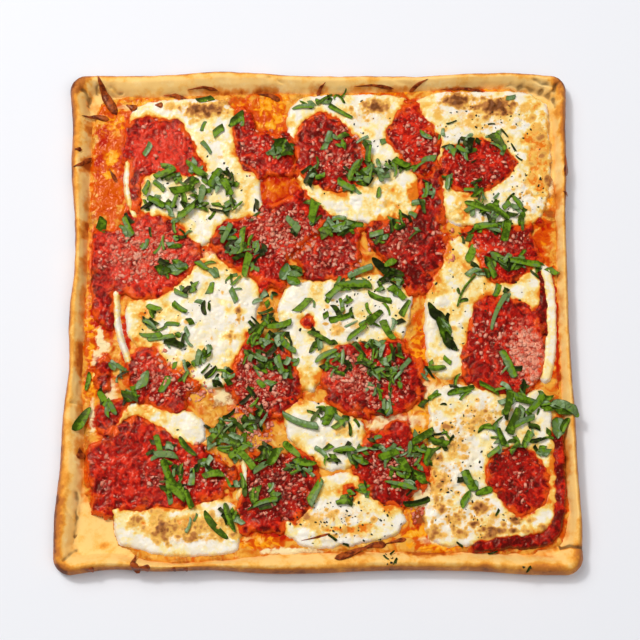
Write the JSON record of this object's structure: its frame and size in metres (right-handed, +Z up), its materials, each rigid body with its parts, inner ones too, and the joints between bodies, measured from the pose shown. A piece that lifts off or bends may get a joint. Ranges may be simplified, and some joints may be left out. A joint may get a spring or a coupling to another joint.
{
  "type": "grandpa pizza",
  "caption": "Square thin pan pizza, uncut, with a low browned rim, mozzarella squares, pools of crushed tomato and shredded basil.",
  "frame": {"origin": "middle of the flat underside, on the surface the pizza rests on", "axes": "+Z up through the toppings, +Y away from the viewer of the picture, +X to the viewer's right"},
  "size_m": [0.4016, 0.4048, 0.0197],
  "materials": {
    "crust": "baked dough, golden brown and matte, paler on the inner slope",
    "oily_cheese": "melted cheese stained orange by oil, glossy",
    "mozzarella": "melted cream-white cheese with tan blisters, soft gloss",
    "tomato_sauce": "wet crushed tomato, glossy",
    "basil": "fresh leaf, satin, greyer on the underside"
  },
  "bodies": {
    "root": {"basil_leaf_below_rim": "basil", "basil_leaf_centre": "basil", "basil_leaf_dark": "basil", "basil_leaf_east": "basil", "basil_leaf_grey": "basil", "basil_leaf_north": "basil", "basil_leaf_rim": "basil", "basil_leaf_west": "basil", "cheese_base": "oily_cheese", "crust": "crust", "mozzarella_centre": "mozzarella", "mozzarella_east": "mozzarella", "mozzarella_fold_east": "mozzarella", "mozzarella_fold_northwest": "mozzarella", "mozzarella_fold_south": "mozzarella", "mozzarella_fold_west": "mozzarella", "mozzarella_north": "mozzarella", "mozzarella_northeast": "mozzarella", "mozzarella_northwest": "mozzarella", "mozzarella_ribbon": "mozzarella", "mozzarella_south": "mozzarella", "mozzarella_south_upper": "mozzarella", "mozzarella_southeast": "mozzarella", "mozzarella_southwest": "mozzarella", "mozzarella_west": "mozzarella", "sauce_centre": "tomato_sauce", "sauce_centre_east": "tomato_sauce", "sauce_centre_lower": "tomato_sauce", "sauce_centre_north": "tomato_sauce", "sauce_centre_west": "tomato_sauce", "sauce_east": "tomato_sauce", "sauce_east_upper": "tomato_sauce", "sauce_north": "tomato_sauce", "sauce_north_east": "tomato_sauce", "sauce_north_west": "tomato_sauce", "sauce_northeast": "tomato_sauce", "sauce_northwest": "tomato_sauce", "sauce_run_east": "tomato_sauce", "sauce_run_southeast": "tomato_sauce", "sauce_south_east": "tomato_sauce", "sauce_south_west": "tomato_sauce", "sauce_southeast": "tomato_sauce", "sauce_southwest": "tomato_sauce", "sauce_southwest_small": "tomato_sauce", "sauce_west": "tomato_sauce", "sauce_west_lower": "tomato_sauce", "sauce_west_small": "tomato_sauce", "tomato_drop_centre": "tomato_sauce", "tomato_drop_east": "tomato_sauce", "tomato_drop_south": "tomato_sauce"}
  },
  "joints": []
}
